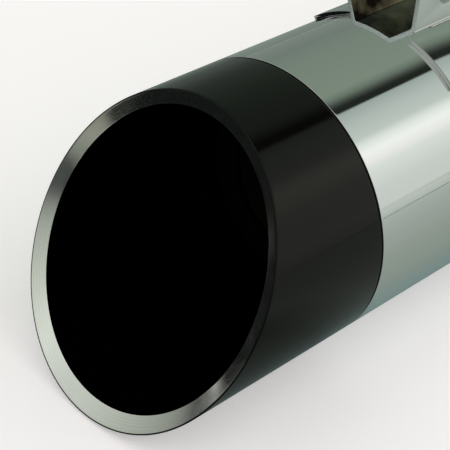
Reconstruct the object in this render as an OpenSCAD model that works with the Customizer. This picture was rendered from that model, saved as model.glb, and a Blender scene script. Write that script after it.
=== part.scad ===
// Slip-on exhaust muffler with a slash-cut tip, a perforated core and an inlet clamp.
// The inlet's mouth is at the origin and the tip faces -Y. The hanger bracket is on top, +Z.

/* [Body] */
// Outside diameter of the shell
shell_d = 101.6; // [101:0.1:127]
// Straight length of the shell
shell_len = 470; // [380:1:600]
// Wall of the shell and of the cone
shell_wall = 1.6; // [1:0.1:2.4]
// Length of the reducing cone
cone_len = 88; // [70:1:120]
// Straight collar at the cone's inlet end
cone_collar = 8; // [5:0.5:12]

/* [Tip] */
// Length of the tip on its centre line, from the joint to the mouth
tip_len = 57.7; // [48:0.1:90]
// Angle of the slash cut, from square
slash = 26.4; // [0:0.1:32]
// Wall of the tip
tip_wall = 5.1; // [4:0.1:7]
// Plain land left outside the machined face
tip_land = 0.6; // [0.3:0.1:1.5]
// How far the machined face runs inwards, along the axis
bevel_depth = 2.5; // [0.4:0.1:3]
// Length of the spigot that seats inside the shell
spigot_len = 12; // [9:0.5:20]
// Radial clearance of the spigot in the shell
spigot_gap = 0.1; // [0.05:0.05:0.3]
// Thickness of the web that the tip's screws pass through
web_t = 4; // [3:0.5:6]
// Gap between the web and the core's collar
web_gap = 1; // [0.5:0.1:2]
// Thickness of the gasket in the joint
gasket_t = 0.8; // [0.5:0.1:1.5]
// How far the gasket stays below the outer surface
gasket_inset = 0.6; // [0.3:0.1:1]

/* [Inlet] */
// Bore of the slip joint
inlet_bore_d = 44.7; // [36:0.1:46]
// Wall of the inlet sleeve
inlet_wall = 1.8; // [1.4:0.1:2.4]
// Depth of the slip joint
socket_len = 70; // [56:1:84]
// Length of sleeve that stands out of the cone
inlet_reach = 62; // [52:1:75]
// Length of the step between the socket and the inner pipe
socket_step = 4; // [2:0.5:8]
// Number of slots that let the socket close
slot_count = 4; // [2:1:6]
// Width of each slot
slot_w = 3; // [2:0.5:4]
// Length of each slot
slot_len = 42; // [30:1:48]

/* [Core] */
// Radial gap between the inner pipe and the core
core_gap = 4.6; // [3:0.1:6]
// Wall of the perforated core
core_wall = 1.5; // [1:0.1:2]
// Wall of the collar round the core's rear end
collar_wall = 2.5; // [1.5:0.1:3]
// Thickness of the collar's flange
collar_t = 3; // [2:0.5:4]
// Diameter of the perforations
perf_d = 8; // [5:0.5:9]
// Pitch of the rings of perforations
perf_pitch = 24; // [18:1:32]
// Pairs of perforations in each ring
perf_pairs = 4; // [3:1:6]
// Thickness of the steel mesh round the core
mesh_t = 1.5; // [1:0.1:3]
// Thickness of the bulkheads
bulkhead_t = 2.5; // [2:0.1:4]
// Turned rim of the bulkheads
rim_len = 10; // [6:1:14]
// How far the core passes the front bulkhead
core_lead = 10; // [6:1:16]
// Overlap of the inner pipe in the core
pipe_overlap = 30; // [20:1:45]

/* [Bracket] */
// Thickness of the bracket's sheet
sheet = 1.6; // [1.5:0.1:2.5]
// Bend radius of the channel, at the middle of its sheet
bend_r = 3.5; // [2.5:0.1:4.5]
// Length of the channel along the shell
channel_len = 80; // [74:1:110]
// From the tip joint to the channel's front edge
bracket_setback = 43; // [20:0.5:120]
// Width of the base that lies on the shell
base_w = 16; // [12:0.5:20]
// Slope of the outboard leg, above level
outer_slope = 42; // [35:1:50]
// Sideways reach of the outboard leg
outer_reach = 9; // [7:0.5:12]
// Slope of the inboard leg, above level
inner_slope = 66; // [60:1:75]
// Sideways reach of the inboard leg
inner_reach = 5; // [3:0.5:7]
// Height of the mounting plate above the outboard leg
plate_h = 24; // [20:1:34]
// Radius of the plate's upper corners
plate_corner = 9; // [5:1:10]
// Diameter of the mounting holes
hole_d = 8.5; // [6.5:0.1:9]
// Distance between the mounting holes
hole_pitch = 50; // [40:0.5:54]
// From the top of the leg up to the mounting holes
hole_rise = 10.5; // [9:0.5:12]
// Angle that the saddle wraps each way from the top
saddle_angle = 38; // [32:1:50]
// How far the saddle starts behind the channel's front edge
saddle_setback = 7; // [0:0.5:14]
// Length of saddle behind the channel
saddle_tail = 12; // [8:1:20]
// Clearance between the saddle's window and the channel
window_gap = 1.5; // [1:0.1:3]

/* [Clamp] */
// Width of the clamp band
band_w = 32; // [26:1:38]
// Thickness of the clamp band
band_t = 1.2; // [1:0.1:1.6]
// Radial clearance of the band on the sleeve before it is tightened
band_gap = 0.1; // [0.05:0.01:0.1]
// From the inlet's mouth to the band
band_setback = 6; // [4:1:12]
// Gap between the band's two lugs
lug_gap = 14; // [11:0.5:18]
// Height of the lugs
lug_h = 21; // [20:0.5:26]
// From the band down to the centre of the clamp bolt
bolt_drop = 11.55; // [11:0.05:12]
// Clearance of the reaction block between the lugs
block_gap = 0.4; // [0.2:0.1:1]
// How far the reaction block stays inside the band's edges
block_inset = 1; // [0.5:0.1:1.5]

/* [Fasteners] */
// Diameter of the clamp bolt
clamp_bolt_d = 8; // [6:0.5:8]
// Length of the clamp bolt under its head
clamp_bolt_len = 40; // [38:1:56]
// Radial clearance of the nut on its bolt
nut_gap = 0.06; // [0.03:0.01:0.1]
// Diameter of the tip's screws
tip_screw_d = 4; // [3:0.5:4]
// Length of the tip's screws under their heads
tip_screw_len = 16; // [14:1:24]
// Number of screws in the tip
tip_screws_n = 3; // [3:1:6]
// Number of screws in the core's collar
core_screws_n = 3; // [3:1:4]
// Diameter of the core collar's screws
core_screw_d = 3; // [2:0.5:3]
// Leg of the weld beads
weld_leg = 2.4; // [1.5:0.1:3.5]

/* [Hidden] */
$fn = 96;
eps = 0.01;
// How far a cutter passes the faces that it cuts
past = 1;
cone_steps = 20;
bend_steps = 6;

// Proportions of the fasteners, as shares of their threads
head_share = 0.8;
nut_h_share = 0.8;
nut_af_share = 1.625;
bolt_head_share = 0.62;
socket_share = 0.9;
weld_nut_af_share = 1.5;
weld_nut_h_share = 0.75;

// Radii
shell_r = shell_d / 2;
shell_in_r = shell_r - shell_wall;
tip_bore_r = shell_r - tip_wall;
spigot_r = shell_in_r - spigot_gap;
inlet_r = inlet_bore_d / 2;
sleeve_r = inlet_r + inlet_wall;
pipe_r = inlet_r;
pipe_bore_r = pipe_r - inlet_wall;
core_bore_r = pipe_r + core_gap;
core_r = core_bore_r + core_wall;
mesh_r = core_r + mesh_t;
ring_gap = 0.15;

// Places along the axis, measured from the inlet's mouth towards the tip
cone_z = inlet_reach;
shell_z = cone_z + cone_len;
joint_z = shell_z + shell_len;
mouth_z = joint_z + tip_len;
tip_z = joint_z + gasket_t;
web_z = joint_z - spigot_len;
rear_z = web_z - bulkhead_t;
front_z = shell_z + rim_len;
core_z = front_z - core_lead;
core_end_z = web_z;
pipe_end_z = core_z + pipe_overlap;

// The collar's screws sit on its flange, inside the web, and the tip's screws on the web
head_gap = 0.6;
screw_clear = 0.4;
screw_proud = 2;
core_head_r = core_screw_d * head_share;
core_screw_r = core_r + collar_wall + core_head_r + head_gap;
collar_r = core_screw_r + core_head_r + head_gap;
web_bore_r = collar_r + web_gap;
tip_head_r = tip_screw_d * head_share;
tip_screw_r = tip_bore_r - tip_head_r - head_gap;
tip_nut_h = tip_screw_d * nut_h_share;
tip_nut_af = tip_screw_d * nut_af_share;

// Bracket
channel_z = joint_z - bracket_setback - channel_len;
base_half = asin(base_w / 2 / shell_r);
base_y = shell_r * cos(base_half);
leg_top = base_y + outer_reach * tan(outer_slope);
plate_x = base_w / 2 + outer_reach;
plate_top = leg_top + plate_h;
inner_x = -base_w / 2 - inner_reach;
inner_top = base_y + inner_reach * tan(inner_slope);
hole_y = leg_top + hole_rise;
hole_z = channel_z + (channel_len - hole_pitch) / 2;
bracket_nut_af = hole_d * weld_nut_af_share;
bracket_nut_h = hole_d * weld_nut_h_share;
saddle_r = shell_r + sheet;
saddle_z = channel_z - saddle_tail;
saddle_len = channel_len + saddle_tail - saddle_setback;
window_half = base_w / 2 + sheet + window_gap;

// Clamp
band_r = sleeve_r + band_gap;
band_out_r = band_r + band_t;
lug_t = band_t * 2;
lug_x = lug_gap / 2;
bolt_y = -(band_out_r + bolt_drop);
lug_foot = -(band_out_r + lug_h);
bolt_z = band_setback + band_w / 2;
bolt_clear = 0.3;
washer_t = 2.5;
washer_x = lug_x + lug_t;
nut_x = washer_x + washer_t;
head_x = -lug_x - lug_t;
clamp_nut_h = clamp_bolt_d * nut_h_share;
clamp_nut_af = clamp_bolt_d * nut_af_share;
bolt_head_h = clamp_bolt_d * bolt_head_share;

// ---- Helpers ----

// Turns a part drawn along +Z, from inlet to tip with its top at +Y, into the muffler's frame
module lengthwise() rotate([90, 0, 0]) children();

// A ring of the given radii between two places along the axis
module ring(r_out, r_in, z0, z1) difference() {
    translate([0, 0, z0]) cylinder(r = r_out, h = z1 - z0);
    translate([0, 0, z0 - past]) cylinder(r = r_in, h = z1 - z0 + 2 * past);
}

// Copies of a part round the axis
module around(n, start = 0) for (i = [0 : n - 1]) rotate([0, 0, start + i * 360 / n]) children();

// A hexagon prism across its flats, with a bore
module hex_nut(af, h, bore_r) difference() {
    cylinder(d = af / cos(30), h = h, $fn = 6);
    translate([0, 0, -past]) cylinder(r = bore_r, h = h + 2 * past);
}

// A socket-head screw whose head sits above z = 0 and whose shank runs below it
module socket_screw(d, len, head_r) {
    difference() {
        cylinder(r = head_r, h = d);
        translate([0, 0, d * socket_share / 2]) cylinder(d = d * socket_share, h = d, $fn = 6);
    }
    translate([0, 0, -len]) cylinder(d = d, h = len + eps);
}

function unit(v) = v / norm(v);
function across(v) = [-v.y, v.x];
function reversed(list) = [for (i = [len(list) - 1 : -1 : 0]) list[i]];

// Points of an arc about a centre
function arc(centre, r, from, to, steps = bend_steps) =
    [for (i = [0 : steps]) let (a = from + (to - from) * i / steps) centre + r * [cos(a), sin(a)]];

// The arc that rounds the corner b of a path from a to c
function bend(a, b, c, r) =
    let (u = unit(a - b), v = unit(c - b), half = acos(u * v) / 2, centre = b + unit(u + v) * r / sin(half),
         p = b + u * r / tan(half) - centre, q = b + v * r / tan(half) - centre,
         from = atan2(p.y, p.x), turn = atan2(q.y, q.x) - from,
         short = turn > 180 ? turn - 360 : turn < -180 ? turn + 360 : turn)
    arc(centre, r, from, from + short);

// The outline of a sheet of thickness t that follows a path through its middle
function ribbon(path, t) =
    let (last = len(path) - 1,
         sides = [for (i = [0 : last - 1]) across(unit(path[i + 1] - path[i]))],
         mitres = [for (i = [0 : last])
             let (m = sides[max(i - 1, 0)], n = sides[min(i, last - 1)]) (m + n) / (1 + m * n)])
    concat([for (i = [0 : last]) path[i] + mitres[i] * t / 2],
           [for (i = [last : -1 : 0]) path[i] - mitres[i] * t / 2]);

// ---- Tip ----

// Everything past the slashed mouth
module beyond_mouth() {
    big = 3 * shell_r;
    translate([0, 0, mouth_z]) rotate([-slash, 0, 0]) translate([-big, -big, 0])
        cube([2 * big, 2 * big, big]);
}

// The cone that machines the mouth's face, sheared so that it follows the slash
module face_cutter() {
    face_r = shell_r - tip_land;
    slope = (face_r - tip_bore_r) / bevel_depth;
    multmatrix([[1, 0, 0, 0], [0, 1, 0, 0], [0, -tan(slash), 1, mouth_z - bevel_depth - past]])
        cylinder(r1 = tip_bore_r - past * slope, r2 = face_r + past * slope, h = bevel_depth + 2 * past);
}

module tip() color("#1b1b1a") lengthwise() difference() {
    union() {
        ring(shell_r, tip_bore_r, tip_z, mouth_z + shell_r * tan(slash) + past);
        ring(spigot_r, tip_bore_r, web_z, tip_z);
        ring(tip_bore_r + eps, web_bore_r, web_z, web_z + web_t);
    }
    beyond_mouth();
    face_cutter();
    around(tip_screws_n, 90) translate([tip_screw_r, 0, web_z - past])
        cylinder(d = tip_screw_d + screw_clear, h = web_t + 2 * past);
}

module tip_gasket() color("#2a2522") lengthwise()
    ring(shell_r - gasket_inset, spigot_r, joint_z, tip_z);

module tip_screws() color("#2d2d2f") lengthwise() around(tip_screws_n, 90)
    translate([tip_screw_r, 0, web_z + web_t]) socket_screw(tip_screw_d, tip_screw_len, tip_head_r);

module tip_nuts() color("#8d8f91") lengthwise() around(tip_screws_n, 90)
    translate([tip_screw_r, 0, rear_z - tip_nut_h]) hex_nut(tip_nut_af, tip_nut_h, tip_screw_d / 2);

// ---- Shell ----

module outer_shell() color("#d9dcd8") lengthwise()
    ring(shell_r, shell_in_r, shell_z, joint_z);

// Radius of the cone's outer surface, from 0 at the inlet to 1 at the shell
function cone_r(t) = sleeve_r + shell_wall + (shell_r - sleeve_r - shell_wall) * (1 - cos(180 * t)) / 2;

module reducing_cone() color("#d9dcd8") lengthwise() {
    span = cone_len - cone_collar;
    z_at = function (t) cone_z + cone_collar + span * t;
    outer = [for (i = [0 : cone_steps]) [cone_r(i / cone_steps), z_at(i / cone_steps)]];
    inner = [for (p = reversed(outer)) [p.x - shell_wall, p.y]];
    start_r = sleeve_r + shell_wall;
    rotate_extrude() polygon(concat([[start_r, cone_z]], outer, inner, [[sleeve_r, cone_z]]));
}

module shell_weld() color("#c9ccc8") lengthwise() {
    half = weld_leg / 2;
    crown = weld_leg / 3;
    rotate_extrude() polygon([
        [shell_r, shell_z - half], [shell_r + crown, shell_z - half / 2],
        [shell_r + crown, shell_z + half / 2], [shell_r, shell_z + half], [shell_r, shell_z]
    ]);
}

module inlet_sleeve() color("#c4c7c6") lengthwise() difference() {
    rotate_extrude() polygon([
        [inlet_r, 0], [sleeve_r, 0], [sleeve_r, socket_len], [pipe_r, socket_len + socket_step],
        [pipe_r, pipe_end_z], [pipe_bore_r, pipe_end_z], [pipe_bore_r, socket_len + socket_step],
        [inlet_r, socket_len]
    ]);
    around(slot_count, 45) {
        translate([0, -slot_w / 2, -past]) cube([2 * sleeve_r, slot_w, slot_len - slot_w / 2 + past]);
        translate([0, 0, slot_len - slot_w / 2]) rotate([0, 90, 0]) cylinder(d = slot_w, h = 2 * sleeve_r);
    }
}

module inlet_weld() color("#b9bcb8") lengthwise() rotate_extrude()
    polygon([[sleeve_r, cone_z - weld_leg], [sleeve_r + weld_leg, cone_z], [sleeve_r, cone_z]]);

// ---- Inside ----

// A pressed disc whose rim is turned towards the inlet
module bulkhead(z, hole_r) {
    ring(shell_in_r, hole_r, z, z + bulkhead_t);
    ring(shell_in_r, shell_in_r - bulkhead_t, z - rim_len + bulkhead_t, z + eps);
}

module front_bulkhead() color("#7f8283") lengthwise() bulkhead(front_z, core_r);

module rear_bulkhead() color("#3a3a3a") lengthwise() difference() {
    bulkhead(rear_z, core_r + collar_wall);
    around(tip_screws_n, 90) translate([tip_screw_r, 0, rear_z - past])
        cylinder(d = tip_screw_d, h = bulkhead_t + 2 * past);
    around(core_screws_n, 90 + 180 / core_screws_n) translate([core_screw_r, 0, rear_z - past])
        cylinder(d = core_screw_d, h = bulkhead_t + 2 * past);
}

module core_tube() color("#77797a") lengthwise() difference() {
    ring(core_r, core_bore_r, core_z, core_end_z);
    first = pipe_end_z + perf_pitch;
    rings = floor((rear_z - perf_pitch - first) / perf_pitch);
    for (i = [0 : rings], j = [0 : perf_pairs - 1])
        translate([0, 0, first + i * perf_pitch]) rotate([0, 90, (j + (i % 2) / 2) * 180 / perf_pairs])
            cylinder(d = perf_d, h = 3 * core_r, center = true);
}

module core_front_ring() color("#8a8c8d") lengthwise()
    ring(core_bore_r, pipe_r + ring_gap, core_z, core_z + core_lead + bulkhead_t);

module core_collar() color("#55575a") lengthwise() difference() {
    union() {
        ring(core_r + collar_wall, core_r, rear_z - core_lead, web_z + collar_t);
        ring(collar_r, core_r + collar_wall - eps, web_z, web_z + collar_t);
        ring(core_r + eps, core_bore_r, web_z, web_z + collar_t);
    }
    around(core_screws_n, 90 + 180 / core_screws_n) translate([core_screw_r, 0, web_z - past])
        cylinder(d = core_screw_d + screw_clear, h = collar_t + 2 * past);
}

module core_screws() color("#3b3b3d") lengthwise() around(core_screws_n, 90 + 180 / core_screws_n)
    translate([core_screw_r, 0, web_z + collar_t])
        socket_screw(core_screw_d, collar_t + bulkhead_t + screw_proud, core_head_r);

module mesh_wrap() color("#9b9d9c") lengthwise()
    ring(mesh_r, core_r, front_z + bulkhead_t, rear_z - core_lead);

module glass_packing() color("#e6dfc4") lengthwise()
    ring(shell_in_r, mesh_r, front_z + bulkhead_t, rear_z - rim_len);

// ---- Hanger bracket ----

// The channel's cross-section: a base curved to the shell, a short inboard leg and a tall plate
module channel_outline() {
    mid = shell_r + sheet / 2;
    base = arc([0, 0], mid, 90 + base_half, 90 - base_half);
    left = base[0];
    right = base[bend_steps];
    inner_knee = [inner_x, inner_top];
    outer_knee = [plate_x, leg_top];
    inner_end = [inner_x, inner_top + 2 * bend_r];
    plate_end = [plate_x, plate_top];
    polygon(ribbon(concat(
        [inner_end], bend(inner_end, inner_knee, left, bend_r), bend(inner_knee, left, base[1], bend_r / 2),
        [for (i = [1 : bend_steps - 1]) base[i]],
        bend(base[bend_steps - 1], right, outer_knee, bend_r / 2),
        bend(right, outer_knee, plate_end, bend_r), [plate_end]
    ), sheet));
}

// The two mounting holes, as drills along X
module mounting_holes(d) for (i = [0, 1])
    translate([0, hole_y, hole_z + i * hole_pitch]) rotate([0, 90, 0]) cylinder(d = d, h = 3 * plate_x);

module bracket_channel() color("#d3d6d4") lengthwise() difference() {
    translate([0, 0, channel_z]) linear_extrude(channel_len) difference() {
        channel_outline();
        circle(r = shell_r);
    }
    mounting_holes(hole_d);
    for (end = [0, 1]) translate([plate_x, plate_top, channel_z + end * channel_len])
        mirror([0, 0, end]) corner_cut();
}

// Cuts a round corner in the plate, at the origin of its own frame
module corner_cut() rotate([0, 90, 0]) translate([0, 0, -2 * sheet]) difference() {
    translate([-plate_corner, -plate_corner, 0]) cube([2 * plate_corner, 2 * plate_corner, 4 * sheet]);
    translate([-plate_corner, -plate_corner, -past]) {
        cylinder(r = plate_corner, h = 4 * sheet + 2 * past);
        translate([-2 * plate_corner, 0, 0]) cube([2 * plate_corner, 3 * plate_corner, 4 * sheet + 2 * past]);
        translate([0, -2 * plate_corner, 0]) cube([3 * plate_corner, 2 * plate_corner, 4 * sheet + 2 * past]);
    }
}

module bracket_saddle() color("#cfd2d0") lengthwise() difference() {
    translate([0, 0, saddle_z]) linear_extrude(saddle_len) intersection() {
        difference() {
            circle(r = saddle_r);
            circle(r = shell_r);
        }
        polygon([[0, 0], 3 * shell_r * [-sin(saddle_angle), cos(saddle_angle)],
            3 * shell_r * [sin(saddle_angle), cos(saddle_angle)]]);
    }
    translate([-window_half, 0, channel_z - window_gap])
        cube([2 * window_half, 2 * shell_r, 2 * channel_len]);
}

// Beads down both edges of the saddle and along both sides of the channel's base
module bracket_welds() color("#bcbfbc") lengthwise() {
    bead = weld_leg / 2;
    edge_angle = saddle_angle + asin(bead / shell_r);
    foot_angle = base_half + asin(bead / shell_r);
    for (side = [-1, 1]) {
        rotate([0, 0, side * edge_angle]) bead_line(bead, saddle_z + weld_leg, saddle_len - 2 * weld_leg);
        rotate([0, 0, side * foot_angle]) bead_line(bead, channel_z + channel_len / 4, channel_len / 2);
    }
}

// A round bead along Z that lies on the shell
module bead_line(r, z, len) difference() {
    translate([0, shell_r, z]) cylinder(r = r, h = len);
    translate([0, 0, z - past]) cylinder(r = shell_r, h = len + 2 * past, $fn = 360);
}

module bracket_nuts() color("#9a9d9c") lengthwise() for (i = [0, 1])
    translate([plate_x - sheet / 2, hole_y, hole_z + i * hole_pitch]) rotate([0, -90, 0])
        hex_nut(bracket_nut_af, bracket_nut_h, hole_d / 2);

// ---- Inlet clamp ----

module clamp_band() color("#c2c5c4") lengthwise() difference() {
    translate([0, 0, band_setback]) linear_extrude(band_w) difference() {
        union() {
            circle(r = band_out_r);
            for (x = [-lug_x - lug_t, lug_x]) translate([x, lug_foot]) square([lug_t, -lug_foot]);
        }
        circle(r = band_r);
        translate([-lug_x, lug_foot - past]) square([lug_gap, past - lug_foot]);
    }
    translate([0, bolt_y, bolt_z]) rotate([0, 90, 0])
        cylinder(d = clamp_bolt_d + 2 * bolt_clear, h = 3 * lug_gap, center = true);
}

module clamp_block() color("#8b8e8f") lengthwise() {
    half = lug_x - block_gap;
    top = -band_out_r - block_inset;
    foot = lug_foot + 2 * block_inset;
    difference() {
        translate([-half, foot, band_setback + block_inset])
            cube([2 * half, top - foot, band_w - 2 * block_inset]);
        translate([0, bolt_y, bolt_z]) rotate([0, 90, 0])
            cylinder(d = clamp_bolt_d + 2 * bolt_clear, h = lug_gap, center = true);
    }
}

module clamp_bolt() color("#a9acab") lengthwise() translate([head_x, bolt_y, bolt_z]) rotate([0, 90, 0]) {
    cylinder(d = clamp_bolt_d, h = clamp_bolt_len);
    translate([0, 0, -bolt_head_h]) cylinder(d = clamp_nut_af / cos(30), h = bolt_head_h, $fn = 6);
}

module clamp_washer() color("#b3b6b5") lengthwise() translate([washer_x, bolt_y, bolt_z]) rotate([0, 90, 0])
    difference() {
        cylinder(d = clamp_bolt_d * 2, h = washer_t);
        translate([0, 0, -past]) cylinder(d = clamp_bolt_d + 2 * nut_gap, h = washer_t + 2 * past);
    }

module clamp_nut() color("#a9acab") lengthwise() translate([nut_x, bolt_y, bolt_z]) rotate([0, 90, 0])
    hex_nut(clamp_nut_af, clamp_nut_h, clamp_bolt_d / 2 + nut_gap);

tip();
tip_gasket();
tip_screws();
tip_nuts();
outer_shell();
reducing_cone();
shell_weld();
inlet_sleeve();
inlet_weld();
front_bulkhead();
rear_bulkhead();
core_tube();
core_front_ring();
core_collar();
core_screws();
mesh_wrap();
glass_packing();
bracket_channel();
bracket_saddle();
bracket_welds();
bracket_nuts();
clamp_band();
clamp_block();
clamp_bolt();
clamp_washer();
clamp_nut();
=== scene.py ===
import bpy
import bmesh
import math
from mathutils import Matrix, Quaternion, Vector


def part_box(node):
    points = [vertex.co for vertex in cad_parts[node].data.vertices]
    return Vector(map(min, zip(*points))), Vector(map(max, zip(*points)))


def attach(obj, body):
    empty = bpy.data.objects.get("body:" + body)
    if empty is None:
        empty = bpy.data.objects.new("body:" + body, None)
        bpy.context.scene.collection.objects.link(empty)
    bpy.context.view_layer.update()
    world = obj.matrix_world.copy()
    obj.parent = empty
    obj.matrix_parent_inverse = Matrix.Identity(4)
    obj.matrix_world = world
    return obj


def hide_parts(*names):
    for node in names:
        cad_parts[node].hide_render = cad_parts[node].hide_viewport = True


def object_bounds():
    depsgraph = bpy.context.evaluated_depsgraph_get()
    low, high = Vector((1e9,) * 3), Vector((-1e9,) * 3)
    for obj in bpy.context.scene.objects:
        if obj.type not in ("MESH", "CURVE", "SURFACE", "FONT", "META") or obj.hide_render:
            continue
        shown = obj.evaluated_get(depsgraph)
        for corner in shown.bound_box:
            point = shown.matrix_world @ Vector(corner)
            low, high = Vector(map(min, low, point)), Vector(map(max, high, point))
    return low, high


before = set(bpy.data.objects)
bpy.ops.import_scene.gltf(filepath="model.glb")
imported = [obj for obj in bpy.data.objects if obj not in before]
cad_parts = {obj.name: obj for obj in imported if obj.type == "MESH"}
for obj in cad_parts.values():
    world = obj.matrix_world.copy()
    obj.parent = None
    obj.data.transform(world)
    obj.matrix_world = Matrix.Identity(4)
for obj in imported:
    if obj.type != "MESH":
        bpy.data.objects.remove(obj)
cadBox = [list(corner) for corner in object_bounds()]

# The muffler lies along Y: the inlet's mouth is at the origin and the tip faces -Y.
# "along" is a distance from the inlet's mouth towards the tip, so y = -along.


def mm(value):
    return value / 1000


def nodeSpan(node):  # start and end of a node along the muffler
    low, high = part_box(node)
    return -high.y, -low.y


def nodeRadius(node):
    low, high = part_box(node)
    return (high.x - low.x) / 2


shellRadius = nodeRadius("outer_shell")
shellStart, jointAlong = nodeSpan("outer_shell")
tipStart, tipEnd = nodeSpan("tip")
gasketEnd = nodeSpan("tip_gasket")[1]
sheetWall = mm(1.6)  # of the shell and the cone

# ---- Materials ----


def srgb(code):  # "RRGGBB" to a linear colour
    parts = [int(code[i:i + 2], 16) / 255 for i in (0, 2, 4)]
    linear = [c / 12.92 if c <= 0.04045 else ((c + 0.055) / 1.055) ** 2.4 for c in parts]
    return (*linear, 1)


def addNode(tree, kind, settings=None, links=None):
    node = tree.nodes.new(kind)
    for key, value in (settings or {}).items():
        if isinstance(key, int) or key in node.inputs:
            node.inputs[key].default_value = value
        else:
            setattr(node, key, value)
    for key, source in (links or {}).items():
        tree.links.new(source, node.inputs[key])
    return node


def newMaterial(name, base, settings):
    material = bpy.data.materials.new(name)
    material.use_nodes = True
    tree = material.node_tree
    shader = tree.nodes["Principled BSDF"]
    shader.inputs["Base Color"].default_value = srgb(base)
    for key, value in settings.items():
        shader.inputs[key].default_value = value
    coords = addNode(tree, "ShaderNodeTexCoord")
    return material, tree, shader, coords.outputs["Object"]


def noise(tree, coords, sizeMm, detail=2.0, roughness=0.5):
    return addNode(tree, "ShaderNodeTexNoise",
                   {"Scale": 1000 / sizeMm, "Detail": detail, "Roughness": roughness},
                   {"Vector": coords}).outputs["Fac"]


def spread(tree, value, low, high, fromLow=0.3, fromHigh=0.7):  # a pattern's 0..1 to a range
    return addNode(tree, "ShaderNodeMapRange",
                   {"From Min": fromLow, "From Max": fromHigh, "To Min": low, "To Max": high},
                   {"Value": value}).outputs["Result"]


def bump(tree, shader, height, depthMm, strength=1.0, onto=None):
    links = {"Height": height}
    if onto:
        links["Normal"] = onto
    node = addNode(tree, "ShaderNodeBump", {"Strength": strength, "Distance": mm(depthMm)}, links)
    tree.links.new(node.outputs["Normal"], shader.inputs["Normal"])
    return node.outputs["Normal"]


def ringDistance(tree, coords):  # distance from the muffler's axis, in metres
    across = addNode(tree, "ShaderNodeVectorMath", {"operation": "MULTIPLY", 1: (1, 0, 1)}, {0: coords})
    length = addNode(tree, "ShaderNodeVectorMath", {"operation": "LENGTH"}, {0: across.outputs[0]})
    return length.outputs["Value"]


def stretched(tree, coords, scale):  # a pattern drawn out along an axis
    return addNode(tree, "ShaderNodeMapping", {"Scale": scale}, {"Vector": coords}).outputs["Vector"]


def chromePlate():
    # Bright chromium over nickel: a mirror with a faint polish haze and a very shallow orange peel
    material, tree, shader, coords = newMaterial("chromePlate", "C5C7C6", {"Metallic": 1, "Roughness": 0.04})
    haze = noise(tree, coords, 60, 4)
    tree.links.new(spread(tree, haze, 0.025, 0.07), shader.inputs["Roughness"])
    bump(tree, shader, noise(tree, coords, 14, 1), 0.02, 0.12)
    return material


def blackHardcoat():
    # Satin-gloss black hard coat over the turned tip: deep black, one soft reflection of the studio
    material, tree, shader, coords = newMaterial("blackHardcoat", "070706",
                                                 {"IOR": 1.5, "Specular IOR Level": 0.16})
    shader.inputs["Specular Tint"].default_value = (1, 0.97, 0.88, 1)
    orangePeel = noise(tree, coords, 1.6, 2)
    cloud = noise(tree, coords, 30, 3)
    tree.links.new(spread(tree, cloud, 0.08, 0.15), shader.inputs["Roughness"])
    bump(tree, shader, orangePeel, 0.02, 0.10)
    return material


def boreShadeBlack():
    # The bore keeps the tip's black coat, made matt and almost without reflection as painted shade for its
    # deep hollow: it gives the eye next to nothing
    material, tree, shader, coords = newMaterial("boreShadeBlack", "010101", {"Specular IOR Level": 0.0})
    tree.links.new(spread(tree, noise(tree, coords, 5, 4), 0.85, 1.0), shader.inputs["Roughness"])
    bump(tree, shader, noise(tree, coords, 0.8, 3), 0.05, 0.3)
    return material


def turnedRim():
    # Aluminium faced bright on the mill after coating: nearly a mirror, with fine tool marks
    # that run round the mouth, drawn three times as far apart as the real 0.1 mm so that they show
    material, tree, shader, coords = newMaterial("turnedRim", "E0E3DE", {"Metallic": 1, "Roughness": 0.14})
    ring = ringDistance(tree, coords)
    marks = addNode(tree, "ShaderNodeTexNoise",
                    {"noise_dimensions": "1D", "Scale": 1000 / 0.3, "Detail": 2.0},
                    {"W": ring}).outputs["Fac"]
    handling = noise(tree, coords, 7, 4)
    tone = addNode(tree, "ShaderNodeMix", {"data_type": "RGBA", 6: srgb("DBDED9"), 7: srgb("E5E8E3")},
                   {0: spread(tree, marks, 0, 1)})
    tree.links.new(tone.outputs[2], shader.inputs["Base Color"])
    tree.links.new(spread(tree, handling, 0.10, 0.18), shader.inputs["Roughness"])
    bump(tree, shader, marks, 0.0005, 0.2)
    return material


def shearedEdge():
    # Cut ends of the hanger's sheet: plated like the rest but never polished, so pale and satin
    material, tree, shader, coords = newMaterial("shearedEdge", "E4ECEC", {"Metallic": 1, "Roughness": 0.55})
    lines = noise(tree, stretched(tree, coords, (1, 0.1, 1)), 0.5, 2)
    tree.links.new(spread(tree, lines, 0.45, 0.65), shader.inputs["Roughness"])
    bump(tree, shader, lines, 0.02, 0.3)
    return material


shadeClearsAbove = (mm(13), mm(22))  # above the shell, from painted shade to bright plate


def hangerShadePlate():
    # Inside of the hanger: a dark mirror clouded brown and olive, painted shade and painted reflection for
    # the channel's hollow, which is darker towards the shell and clears to bright plate up the mounting plate
    material, tree, shader, coords = newMaterial("hangerShadePlate", "4A4434", {"Metallic": 1, "Roughness": 0.25})
    cloud = noise(tree, coords, 16, 3)
    mix = addNode(tree, "ShaderNodeMix", {"data_type": "RGBA", 6: srgb("0E0C0A"), 7: srgb("5F5945")},
                  {0: spread(tree, cloud, 0, 1, 0.42, 0.66)})
    height = addNode(tree, "ShaderNodeSeparateXYZ", None, {0: coords}).outputs["Z"]
    climb = spread(tree, height, 0, 1, *(shellRadius + clearance for clearance in shadeClearsAbove))
    clear = addNode(tree, "ShaderNodeMix", {"data_type": "RGBA", 7: srgb("C5C7C6")},
                    {0: climb, 6: mix.outputs[2]})
    tree.links.new(clear.outputs[2], shader.inputs["Base Color"])
    tree.links.new(spread(tree, noise(tree, coords, 5, 3), 0.16, 0.34), shader.inputs["Roughness"])
    bump(tree, shader, cloud, 0.05, 0.2)
    return material


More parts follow.
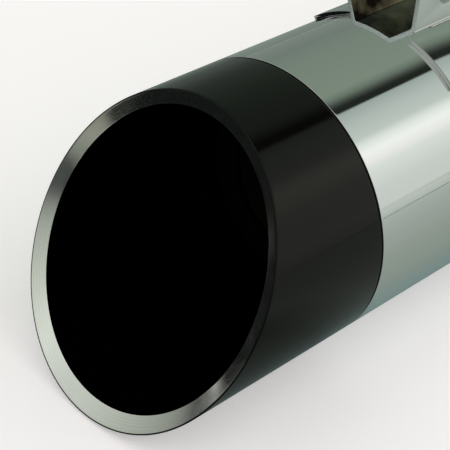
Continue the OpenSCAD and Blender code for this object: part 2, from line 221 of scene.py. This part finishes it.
def weldBead():
    # Plated weld metal: ripples, and a duller and greyer skin than the sheet beside it
    material, tree, shader, coords = newMaterial("platedWeld", "A9A9A4", {"Metallic": 1, "Roughness": 0.3})
    tree.links.new(spread(tree, noise(tree, coords, 2.5, 3), 0.18, 0.42), shader.inputs["Roughness"])
    bump(tree, shader, noise(tree, coords, 0.9, 2), 0.08, 0.5)
    return material


def brushedStainless():
    # Rolled stainless strip, brushed round the axis: fine lines and a warm grey
    material, tree, shader, coords = newMaterial("brushedStainless", "B9B5AD",
                                                 {"Metallic": 1, "Roughness": 0.3})
    lines = noise(tree, stretched(tree, coords, (0.02, 1, 0.02)), 0.35, 3)
    tree.links.new(spread(tree, lines, 0.22, 0.40), shader.inputs["Roughness"])
    bump(tree, shader, lines, 0.02, 0.35)
    return material


def zincPlate():
    # Bright zinc plate on rolled fasteners: cool grey with a slightly cloudy skin
    material, tree, shader, coords = newMaterial("zincPlate", "B4B8BB", {"Metallic": 1, "Roughness": 0.28})
    tree.links.new(spread(tree, noise(tree, coords, 3, 4), 0.2, 0.42), shader.inputs["Roughness"])
    bump(tree, shader, noise(tree, coords, 0.5, 3), 0.02, 0.3)
    return material


def blackOxide():
    # Black oxide on steel screws: dark, oily, semi-matt
    material, tree, shader, coords = newMaterial("blackOxide", "1C1C1E", {"Metallic": 1, "Roughness": 0.45})
    tree.links.new(spread(tree, noise(tree, coords, 1.5, 3), 0.35, 0.6), shader.inputs["Roughness"])
    bump(tree, shader, noise(tree, coords, 0.4, 2), 0.02, 0.3)
    return material


def pressedSteel():
    # Plain drawn steel inside the muffler, with draw lines along it and a little heat tint
    material, tree, shader, coords = newMaterial("pressedSteel", "6E6C68", {"Metallic": 1, "Roughness": 0.45})
    lines = noise(tree, stretched(tree, coords, (1, 0.03, 1)), 0.6, 2)
    tint = noise(tree, coords, 40, 3)
    mix = addNode(tree, "ShaderNodeMix", {"data_type": "RGBA", 6: srgb("6E6C68"), 7: srgb("6A5E4E")},
                  {0: spread(tree, tint, 0, 1)})
    tree.links.new(mix.outputs[2], shader.inputs["Base Color"])
    tree.links.new(spread(tree, lines, 0.35, 0.55), shader.inputs["Roughness"])
    bump(tree, shader, lines, 0.02, 0.3)
    return material


def heatPaint():
    # Heat-proof black paint on the pressed inner parts: matt, with a fine grain
    material, tree, shader, coords = newMaterial("heatPaint", "040404", {"Specular IOR Level": 0.05})
    tree.links.new(spread(tree, noise(tree, coords, 4, 3), 0.65, 0.9), shader.inputs["Roughness"])
    bump(tree, shader, noise(tree, coords, 0.5, 2), 0.04, 0.5)
    return material


def graphiteGasket():
    # Pressed graphite fibre: near black, flecked
    material, tree, shader, coords = newMaterial("graphiteGasket", "0D0C0B", {"Specular IOR Level": 0.2})
    flecks = noise(tree, coords, 0.6, 3)
    mix = addNode(tree, "ShaderNodeMix", {"data_type": "RGBA", 6: srgb("080808"), 7: srgb("1E1B18")},
                  {0: spread(tree, flecks, 0, 1)})
    tree.links.new(mix.outputs[2], shader.inputs["Base Color"])
    tree.links.new(spread(tree, flecks, 0.7, 0.95), shader.inputs["Roughness"])
    return material


def wovenMesh():
    # Stainless wire cloth wrapped round the core: crossed wires, whose bands come out about 7.5 mm
    # apart, much coarser than the real cloth's 1.2 mm
    material, tree, shader, coords = newMaterial("wovenMesh", "8F8D88", {"Metallic": 1, "Roughness": 0.4})
    wires = []
    for direction in ("X", "Y"):
        wave = addNode(tree, "ShaderNodeTexWave", {"bands_direction": direction, "Scale": 1000 / 1.2 / 20},
                       {"Vector": coords})
        wires.append(wave.outputs["Fac"])
    cross = addNode(tree, "ShaderNodeMath", {"operation": "MAXIMUM"}, {0: wires[0], 1: wires[1]})
    bump(tree, shader, cross.outputs[0], 0.3, 0.8)
    return material


def glassWool():
    # Glass-fibre wadding: cream, matted strands
    material, tree, shader, coords = newMaterial("glassWool", "D8CFB0", {"Roughness": 0.9})
    strands = noise(tree, stretched(tree, coords, (1, 0.15, 1)), 1.5, 5)
    mix = addNode(tree, "ShaderNodeMix", {"data_type": "RGBA", 6: srgb("C9BF9C"), 7: srgb("EFE8D2")},
                  {0: spread(tree, strands, 0, 1)})
    tree.links.new(mix.outputs[2], shader.inputs["Base Color"])
    bump(tree, shader, strands, 0.6, 0.8)
    return material


finish = {
    "chrome": chromePlate(),
    "coat": blackHardcoat(),
    "bore": boreShadeBlack(),
    "rim": turnedRim(),
    "sheared": shearedEdge(),
    "hangerShade": hangerShadePlate(),
    "weld": weldBead(),
    "stainless": brushedStainless(),
    "zinc": zincPlate(),
    "oxide": blackOxide(),
    "steel": pressedSteel(),
    "paint": heatPaint(),
    "gasket": graphiteGasket(),
    "mesh": wovenMesh(),
    "wool": glassWool(),
}
print("materials ready")

# ---- Making and finishing pieces ----


def addPiece(name, bm, materials, sharpDegrees=32):
    mesh = bpy.data.meshes.new(name)
    bm.to_mesh(mesh)
    bm.free()
    for key in materials:
        mesh.materials.append(finish[key])
    mesh.shade_smooth()
    mesh.set_sharp_from_angle(angle=math.radians(sharpDegrees))
    piece = bpy.data.objects.new(name, mesh)
    bpy.context.scene.collection.objects.link(piece)
    return piece


def stand(piece, node, body):  # the piece stands for a CAD node and rides on its body
    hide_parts(node)
    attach(piece, body)


def filleted(corners, hold=mm(0.35), steps=5):
    # corners are (radius from the axis, along, fillet); each fillet becomes an arc with a
    # point held just outside each end, which keeps the long faces beside it flat
    points = []
    count = len(corners)
    for i, (r, a, fillet) in enumerate(corners):
        here = Vector((r, a))
        before = Vector(corners[i - 1][:2]) - here
        after = Vector(corners[(i + 1) % count][:2]) - here
        if fillet == 0:
            points.append(here)
            continue
        toBefore, toAfter = before.normalized(), after.normalized()
        half = toBefore.angle(toAfter) / 2
        reach = fillet / math.tan(half)
        centre = here + (toBefore + toAfter).normalized() * fillet / math.sin(half)
        start, end = here + toBefore * reach - centre, here + toAfter * reach - centre
        if before.length > 2 * (reach + hold):
            points.append(here + toBefore * (reach + hold))
        turn = start.angle_signed(end)
        for step in range(steps + 1):
            angle = -turn * step / steps
            points.append(centre + Matrix.Rotation(angle, 2) @ start)
        if after.length > 2 * (reach + hold):
            points.append(here + toAfter * (reach + hold))
    return points


def lathe(points, steps, closed=True):  # turns a profile round the muffler's axis
    bm = bmesh.new()
    ring = [bm.verts.new((0, -p[1], p[0])) for p in points]
    pairs = list(zip(ring, ring[1:] + ring[:1])) if closed else list(zip(ring, ring[1:]))
    edges = [bm.edges.new(pair) for pair in pairs]
    bmesh.ops.spin(bm, geom=ring + edges, cent=(0, 0, 0), axis=(0, 1, 0), dvec=(0, 0, 0),
                   angle=math.tau, steps=steps, use_merge=True, use_normal_flip=False, use_duplicate=False)
    bmesh.ops.remove_doubles(bm, verts=bm.verts, dist=mm(0.0005))
    bmesh.ops.recalc_face_normals(bm, faces=bm.faces)
    return bm


# ---- Tip ----

tip = {
    "steps": 288,
    "slashDegrees": 26.4,
    "wall": mm(5.1),
    "land": mm(0.4),  # radius of the edge outside the machined face, where the coat stays
    "faceInset": mm(0.6),  # from the outer surface in to the machined face
    "bevelDepth": mm(2.5),
    "innerEdge": mm(0.15),
    "backEdge": mm(0.35),
    "webGap": mm(1),
    "webThickness": mm(4),
    "spigotGap": mm(0.1),
    "sheared": mm(2),  # how far behind the bore's edge the slant cut still moves the points
    "slack": mm(0.01),
}
slope = math.tan(math.radians(tip["slashDegrees"]))
mouthAlong = tipEnd - shellRadius * slope


def makeTip():
    boreRadius = shellRadius - tip["wall"]
    spigotRadius = shellRadius - sheetWall - tip["spigotGap"]
    webEnd = tipStart + tip["webThickness"]
    innerAlong = mouthAlong - tip["bevelDepth"]
    webBore = nodeRadius("core_collar") + tip["webGap"]
    corners = [
        (shellRadius, gasketEnd, tip["backEdge"]),
        (shellRadius, mouthAlong, tip["land"]),
        (boreRadius, innerAlong, tip["innerEdge"]),
        (boreRadius, webEnd, 0),
        (webBore, webEnd, 0),
        (webBore, tipStart, 0),
        (spigotRadius, tipStart, 0),
        (spigotRadius, gasketEnd, 0),
    ]
    bm = lathe(filleted(corners), tip["steps"])
    rimLow, rimHigh = boreRadius + tip["innerEdge"] / 2, shellRadius - tip["faceInset"]
    for face in bm.faces:
        centre = face.calc_center_median()
        radius = math.hypot(centre.x, centre.z)
        if -centre.y > innerAlong - tip["innerEdge"] and rimLow < radius < rimHigh:
            face.material_index = 1
        elif radius < boreRadius + tip["innerEdge"] / 2 or -centre.y < gasketEnd - tip["slack"]:
            # the bore, and the faces hidden behind the gasket, take the painted shade of the bore
            face.material_index = 2
    lip = [v for v in bm.verts if -v.co.y > innerAlong - tip["sheared"]]
    shear = Matrix(((1, 0, 0, 0), (0, 1, slope, 0), (0, 0, 1, 0), (0, 0, 0, 1)))
    bmesh.ops.transform(bm, matrix=shear, verts=lip)
    return addPiece("slashCutTip", bm, ["coat", "rim", "bore"])


stand(makeTip(), "tip", "muffler")
print("tip made")

# ---- Shell and cone ----

shell = {"steps": 288, "frontEdge": mm(0.15)}


def makeShell():
    inner = shellRadius - sheetWall
    corners = [
        (shellRadius, shellStart, 0),
        (shellRadius, jointAlong, shell["frontEdge"]),
        (inner, jointAlong, 0),
        (inner, shellStart, 0),
    ]
    return addPiece("chromeShell", lathe(filleted(corners), shell["steps"]), ["chrome"])


cone = {"steps": 192, "rings": 60, "collar": mm(8)}


def makeCone():
    coneStart, coneEnd = nodeSpan("reducing_cone")
    neck = nodeRadius("inlet_sleeve") + sheetWall
    span = coneEnd - coneStart - cone["collar"]
    outer = [Vector((neck, coneStart))]
    for i in range(cone["rings"] + 1):
        t = i / cone["rings"]
        radius = neck + (shellRadius - neck) * (1 - math.cos(math.pi * t)) / 2
        outer.append(Vector((radius, coneStart + cone["collar"] + span * t)))
    inner = [Vector((p.x - sheetWall, p.y)) for p in reversed(outer)]
    return addPiece("spunCone", lathe(outer + inner, cone["steps"]), ["chrome"])


stand(makeShell(), "outer_shell", "muffler")
stand(makeCone(), "reducing_cone", "muffler")
print("shell and cone made")

# ---- Pieces softened from their CAD nodes ----


softening = {
    "merge": mm(0.002),  # points closer than this are one
    "flatDegrees": 1,  # faces that turn less than this become one
    "crispDegrees": 32,
    "segments": 2,
    "endFacing": 0.6,  # a cut end of a sheet faces along the muffler at least this much
    "insideFacing": 0.2,  # and its inside faces the sheet's middle at least this much
}
sheetMiddle = {"bracket_channel": sum(corner.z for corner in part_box("bracket_channel")) / 2}


def softened(name, node, edge, look):
    # a merged copy of the CAD node with every crisp edge rounded; sheet parts have looks of
    # their own for their cut ends, and painted shade for their inside
    crispAngle = math.radians(softening["crispDegrees"])
    bm = bmesh.new()
    bm.from_mesh(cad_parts[node].data)
    bmesh.ops.remove_doubles(bm, verts=bm.verts, dist=softening["merge"])
    bmesh.ops.dissolve_limit(bm, angle_limit=math.radians(softening["flatDegrees"]),
                             use_dissolve_boundaries=False, verts=bm.verts, edges=bm.edges, delimit=set())
    crisp = [e for e in bm.edges if len(e.link_faces) == 2 and e.calc_face_angle(0) > crispAngle]
    bmesh.ops.bevel(bm, geom=crisp, offset=edge, offset_type="OFFSET", segments=softening["segments"],
                    profile=0.5, affect="EDGES", clamp_overlap=True, material=-1)
    bmesh.ops.remove_doubles(bm, verts=bm.verts, dist=softening["merge"])
    bmesh.ops.dissolve_degenerate(bm, edges=bm.edges, dist=softening["merge"])
    if node not in sheetMiddle:
        return addPiece(name, bm, [look])
    for face in bm.faces:
        inward = Vector((0, 0, sheetMiddle[node])) - face.calc_center_median()
        inward.y = 0
        if abs(face.normal.y) > softening["endFacing"]:
            face.material_index = 1
        elif face.normal.dot(inward.normalized()) > softening["insideFacing"]:
            # faces turned to the sheet's middle take the painted shade of the hanger's inside
            face.material_index = 2
    return addPiece(name, bm, [look, "sheared", "hangerShade"])


softPieces = [
    # piece, node, body, slot, finish, edge in mm
    ("hangerChannel", "bracket_channel", "muffler", "chrome", "chrome", 0.45),
    ("hangerSaddle", "bracket_saddle", "muffler", "chrome", "chrome", 0.45),
    ("hangerWelds", "bracket_welds", "muffler", "weld", "weld", 0.1),
    ("hangerNuts", "bracket_nuts", "muffler", "zinc_steel", "zinc", 0.35),
    ("tipScrews", "tip_screws", "muffler", "black_screw", "oxide", 0.25),
    ("coreScrews", "core_screws", "muffler", "black_screw", "oxide", 0.2),
    ("coreCollar", "core_collar", "muffler", "black_inner_steel", "paint", 0.3),
    ("clampBand", "clamp_band", "clamp", "stainless", "stainless", 0.3),
    ("clampBlock", "clamp_block", "clamp", "zinc_steel", "zinc", 0.5),
    ("clampBolt", "clamp_bolt", "clamp", "zinc_steel", "zinc", 0.35),
    ("clampWasher", "clamp_washer", "washer", "zinc_steel", "zinc", 0.25),
    ("clampNut", "clamp_nut", "nut", "zinc_steel", "zinc", 0.35),
]
unmirrored = ("bracket_channel", "bracket_nuts", "bracket_welds")  # their images would clutter the plate
for name, node, body, slot, look, edge in softPieces:
    piece = softened(name, node, mm(edge), look)
    piece.visible_glossy = node not in unmirrored
    stand(piece, node, body)
print("bracket, clamp and fasteners made")

# ---- CAD nodes that keep their own meshes ----

keptNodes = {
    "tip_gasket": "gasket",
    "tip_nuts": "zinc",
    "shell_weld": "weld",
    "inlet_sleeve": "stainless",
    "inlet_weld": "weld",
    "front_bulkhead": "steel",
    "rear_bulkhead": "paint",
    "core_tube": "steel",
    "core_front_ring": "steel",
    "mesh_wrap": "mesh",
    "glass_packing": "wool",
}
for node, look in keptNodes.items():
    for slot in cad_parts[node].material_slots:
        slot.material = finish[look]
print("kept nodes finished")

# ---- Studio ----

studio = {
    "floorSize": 14.0,
    "floor": "FBF1F6",
    "floorLift": 0.37,  # fill on the floor as the camera sees it, so that it reads as white paper
    "paper": (0.90, 0.91, 0.90, 1),
}


def cameraRay(tree):  # 1 where the camera looks, 0 in reflections and light
    return addNode(tree, "ShaderNodeLightPath").outputs["Is Camera Ray"]


def makeFloor():
    bm = bmesh.new()
    bmesh.ops.create_grid(bm, x_segments=1, y_segments=1, size=studio["floorSize"] / 2)
    bmesh.ops.translate(bm, verts=bm.verts, vec=(0, 0, cadBox[0][2]))
    mesh = bpy.data.meshes.new("floor")
    bm.to_mesh(mesh)
    bm.free()
    material, tree, shader, coords = newMaterial("paperFloor", studio["floor"],
                                                 {"Roughness": 0.9, "Specular IOR Level": 0})
    shader.inputs["Emission Color"].default_value = studio["paper"]
    lift = addNode(tree, "ShaderNodeMath", {"operation": "MULTIPLY", 1: studio["floorLift"]},
                   {0: cameraRay(tree)})
    tree.links.new(lift.outputs[0], shader.inputs["Emission Strength"])
    mesh.materials.append(material)
    floor = bpy.data.objects.new("floor", mesh)
    bpy.context.scene.collection.objects.link(floor)


def lightRamp(tree, value, stops):  # stops are (position from 0 to 1, colour)
    ramp = addNode(tree, "ShaderNodeValToRGB", None, {"Fac": value})
    elements = ramp.color_ramp.elements
    while len(elements) > 1:
        elements.remove(elements[0])
    for i, (position, colour) in enumerate(stops):
        element = elements[0] if i == 0 else elements.new(position)
        element.position = position
        element.color = (*colour, 1)
    return ramp.outputs["Color"]


roundLight = [  # behind the tip: degrees round the muffler from straight up towards +X
    (-180, (0.35, 0.38, 0.36)), (-95, (0.30, 0.35, 0.31)), (-70, (0.26, 0.32, 0.28)),
    (-50, (0.30, 0.38, 0.31)), (-9, (0.34, 0.43, 0.34)), (-3.5, (0.24, 0.30, 0.24)),
    (1, (0.09, 0.11, 0.09)), (4, (0.03, 0.036, 0.03)), (8.6, (0.02, 0.025, 0.02)),
    (9.2, (0.55, 0.64, 0.59)), (20, (0.73, 0.83, 0.77)), (28, (0.82, 0.91, 0.85)),
    (34, (0.90, 0.98, 0.92)), (39, (1.25, 1.31, 1.25)), (46, (1.53, 1.54, 1.48)),
    (53, (1.42, 1.40, 1.36)), (59, (1.18, 1.24, 1.17)), (75, (1.0, 1.05, 1.0)),
    (92, (0.95, 1.0, 0.94)), (110, (0.7, 0.72, 0.68)), (180, (0.35, 0.38, 0.36)),
]
frontLight = [  # before the tip: rise of a ray one long above a horizon that dips to the left
    (-1, (0.5, 0.52, 0.5)), (-0.12, (0.35, 0.36, 0.35)), (-0.05, (0.05, 0.055, 0.05)),
    (0.12, (0.06, 0.065, 0.065)), (0.16, (0.12, 0.125, 0.12)), (0.20, (0.28, 0.29, 0.27)),
    (0.26, (0.44, 0.46, 0.42)), (0.35, (0.55, 0.57, 0.52)), (0.44, (0.68, 0.70, 0.64)),
    (0.50, (0.80, 0.83, 0.77)), (0.53, (0.90, 0.92, 0.87)), (1, (0.86, 0.88, 0.85)),
]
horizonDip = 0.1
leftDim = {"share": 0.8, "from": (-0.42, -0.26)}  # the soft box fades towards -X
changeOver = (0.1, -0.2)  # a ray's Y where the lights behind the tip give way to those before it


def makeWorld():
    # Behind the tip the strip lights run parallel to the muffler; before it one soft box
    # hangs over a dark horizon. The camera itself sees plain paper.
    world = bpy.data.worlds.new("studio")
    bpy.context.scene.world = world
    world.use_nodes = True
    tree = world.node_tree
    tree.nodes.clear()
    direction = addNode(tree, "ShaderNodeTexCoord").outputs["Generated"]
    parts = addNode(tree, "ShaderNodeSeparateXYZ", None, {0: direction})
    turn = addNode(tree, "ShaderNodeMath", {"operation": "ARCTAN2"},
                   {0: parts.outputs["X"], 1: parts.outputs["Z"]}).outputs[0]
    height = addNode(tree, "ShaderNodeMath", {"operation": "MULTIPLY_ADD", 1: -horizonDip},
                     {0: parts.outputs["X"], 2: parts.outputs["Z"]}).outputs[0]
    around = spread(tree, turn, 0, 1, -math.pi, math.pi)
    above = spread(tree, height, 0, 1, -1, 1)
    back = lightRamp(tree, around, [(0.5 + degrees / 360, colour) for degrees, colour in roundLight])
    front = lightRamp(tree, above, [(0.5 + rise / 2, colour) for rise, colour in frontLight])
    dim = spread(tree, parts.outputs["X"], leftDim["share"], 1, *leftDim["from"])
    soft = addNode(tree, "ShaderNodeMix", {"data_type": "RGBA", "blend_type": "MULTIPLY", 0: 1.0},
                   {6: front, 7: dim})
    share = spread(tree, parts.outputs["Y"], 0, 1, *changeOver)
    lights = addNode(tree, "ShaderNodeMix", {"data_type": "RGBA"}, {0: share, 6: back, 7: soft.outputs[2]})
    seen = addNode(tree, "ShaderNodeMix", {"data_type": "RGBA", 7: studio["paper"]},
                   {0: cameraRay(tree), 6: lights.outputs[2]})
    backdrop = addNode(tree, "ShaderNodeBackground", {"Strength": 1}, {"Color": seen.outputs[2]})
    addNode(tree, "ShaderNodeOutputWorld", None, {"Surface": backdrop.outputs[0]})


cards = [
    # glowing cards just above the floor, seen only in reflections: name, colour, low and high x and y
    ("frontCard", (0.008, 0.009, 0.009), (-0.70, -0.035), (-1.02, -0.66)),
    ("farCard", (0.34, 0.345, 0.29), (-0.70, 0.30), (-4.0, -1.02)),
    ("leftCard", (0.25, 0.31, 0.27), (-5.0, -0.10), (-0.655, 4.0)),
]
cardLift = mm(1)  # above the floor
sideCard = {
    "lift": mm(2),
    "x": (0.02, 6.9),
    "y": (-3.0, 4.0),
    "light": [  # metres from the muffler's axis; the glow darkens towards the axis as painted shade of the muffler on the floor, seen in the chrome; the narrow dark gap draws a hairline down the chrome
        (0.03, (0.19, 0.26, 0.25)), (0.045, (0.27, 0.36, 0.34)), (0.072, (0.40, 0.47, 0.41)),
        (0.14, (0.52, 0.58, 0.52)), (0.22, (0.58, 0.64, 0.58)), (0.32, (0.61, 0.68, 0.62)),
        (0.474, (0.68, 0.75, 0.68)), (0.480, (0.20, 0.22, 0.20)), (0.502, (0.20, 0.22, 0.20)),
        (0.508, (0.74, 0.81, 0.74)), (1.0, (0.82, 0.88, 0.81)),
    ],
    "dimBeside": 0.52,  # share of that light left beside the tip: painted shade on the floor as the chrome reflects it
    "dimFrom": (-0.622, -0.588),
}


def makeCard(name, spanX, spanY, lift):  # its tree, shader and coordinates
    bm = bmesh.new()
    bmesh.ops.create_grid(bm, x_segments=1, y_segments=1, size=0.5)
    bmesh.ops.scale(bm, vec=(spanX[1] - spanX[0], spanY[1] - spanY[0], 1), verts=bm.verts)
    bmesh.ops.translate(bm, verts=bm.verts, vec=(sum(spanX) / 2, sum(spanY) / 2, cadBox[0][2] + lift))
    mesh = bpy.data.meshes.new(name)
    bm.to_mesh(mesh)
    bm.free()
    material, tree, shader, coords = newMaterial(name, "000000",
                                                 {"Specular IOR Level": 0, "Emission Strength": 1})
    mesh.materials.append(material)
    card = bpy.data.objects.new(name, mesh)
    bpy.context.scene.collection.objects.link(card)
    card.visible_camera = False
    card.visible_diffuse = False
    card.visible_shadow = False
    return tree, shader, coords


def makeCards():
    for name, colour, spanX, spanY in cards:
        tree, shader, coords = makeCard(name, spanX, spanY, cardLift)
        shader.inputs["Emission Color"].default_value = (*colour, 1)
    tree, shader, coords = makeCard("sideCard", sideCard["x"], sideCard["y"], sideCard["lift"])
    parts = addNode(tree, "ShaderNodeSeparateXYZ", None, {0: coords})
    light = lightRamp(tree, parts.outputs["X"], sideCard["light"])
    dim = spread(tree, parts.outputs["Y"], sideCard["dimBeside"], 1, *sideCard["dimFrom"])
    glow = addNode(tree, "ShaderNodeMix", {"data_type": "RGBA", "blend_type": "MULTIPLY", 0: 1.0},
                   {6: light, 7: dim})
    tree.links.new(glow.outputs[2], shader.inputs["Emission Color"])


view = {
    "lens": 110.6,
    "sensor": 36,
    "clip": (0.01, 50),
    "azimuth": 43.4,
    "elevation": 35.6,
    "roll": 4.7,
    "distance": 0.4428,
    "aim": (mm(11.9), mm(23.4), mm(11.1)),  # from the centre of the tip's mouth
}


def makeCamera():
    azimuth, elevation = math.radians(view["azimuth"]), math.radians(view["elevation"])
    flat = math.cos(elevation)
    forward = Vector((-math.sin(azimuth) * flat, math.cos(azimuth) * flat, -math.sin(elevation)))
    aim = Vector((0, -mouthAlong, 0)) + Vector(view["aim"])
    data = bpy.data.cameras.new("camera")
    data.lens = view["lens"]
    data.sensor_width = view["sensor"]
    data.clip_start, data.clip_end = view["clip"]
    camera = bpy.data.objects.new("camera", data)
    camera.rotation_mode = "QUATERNION"
    roll = Quaternion((0, 0, 1), math.radians(view["roll"]))
    camera.rotation_quaternion = forward.to_track_quat("-Z", "Y") @ roll
    camera.location = aim - forward * view["distance"]
    bpy.context.scene.collection.objects.link(camera)
    bpy.context.scene.camera = camera


makeFloor()
makeWorld()
makeCards()
makeCamera()
bpy.context.scene.view_settings.view_transform = "Standard"
print("studio and camera ready")
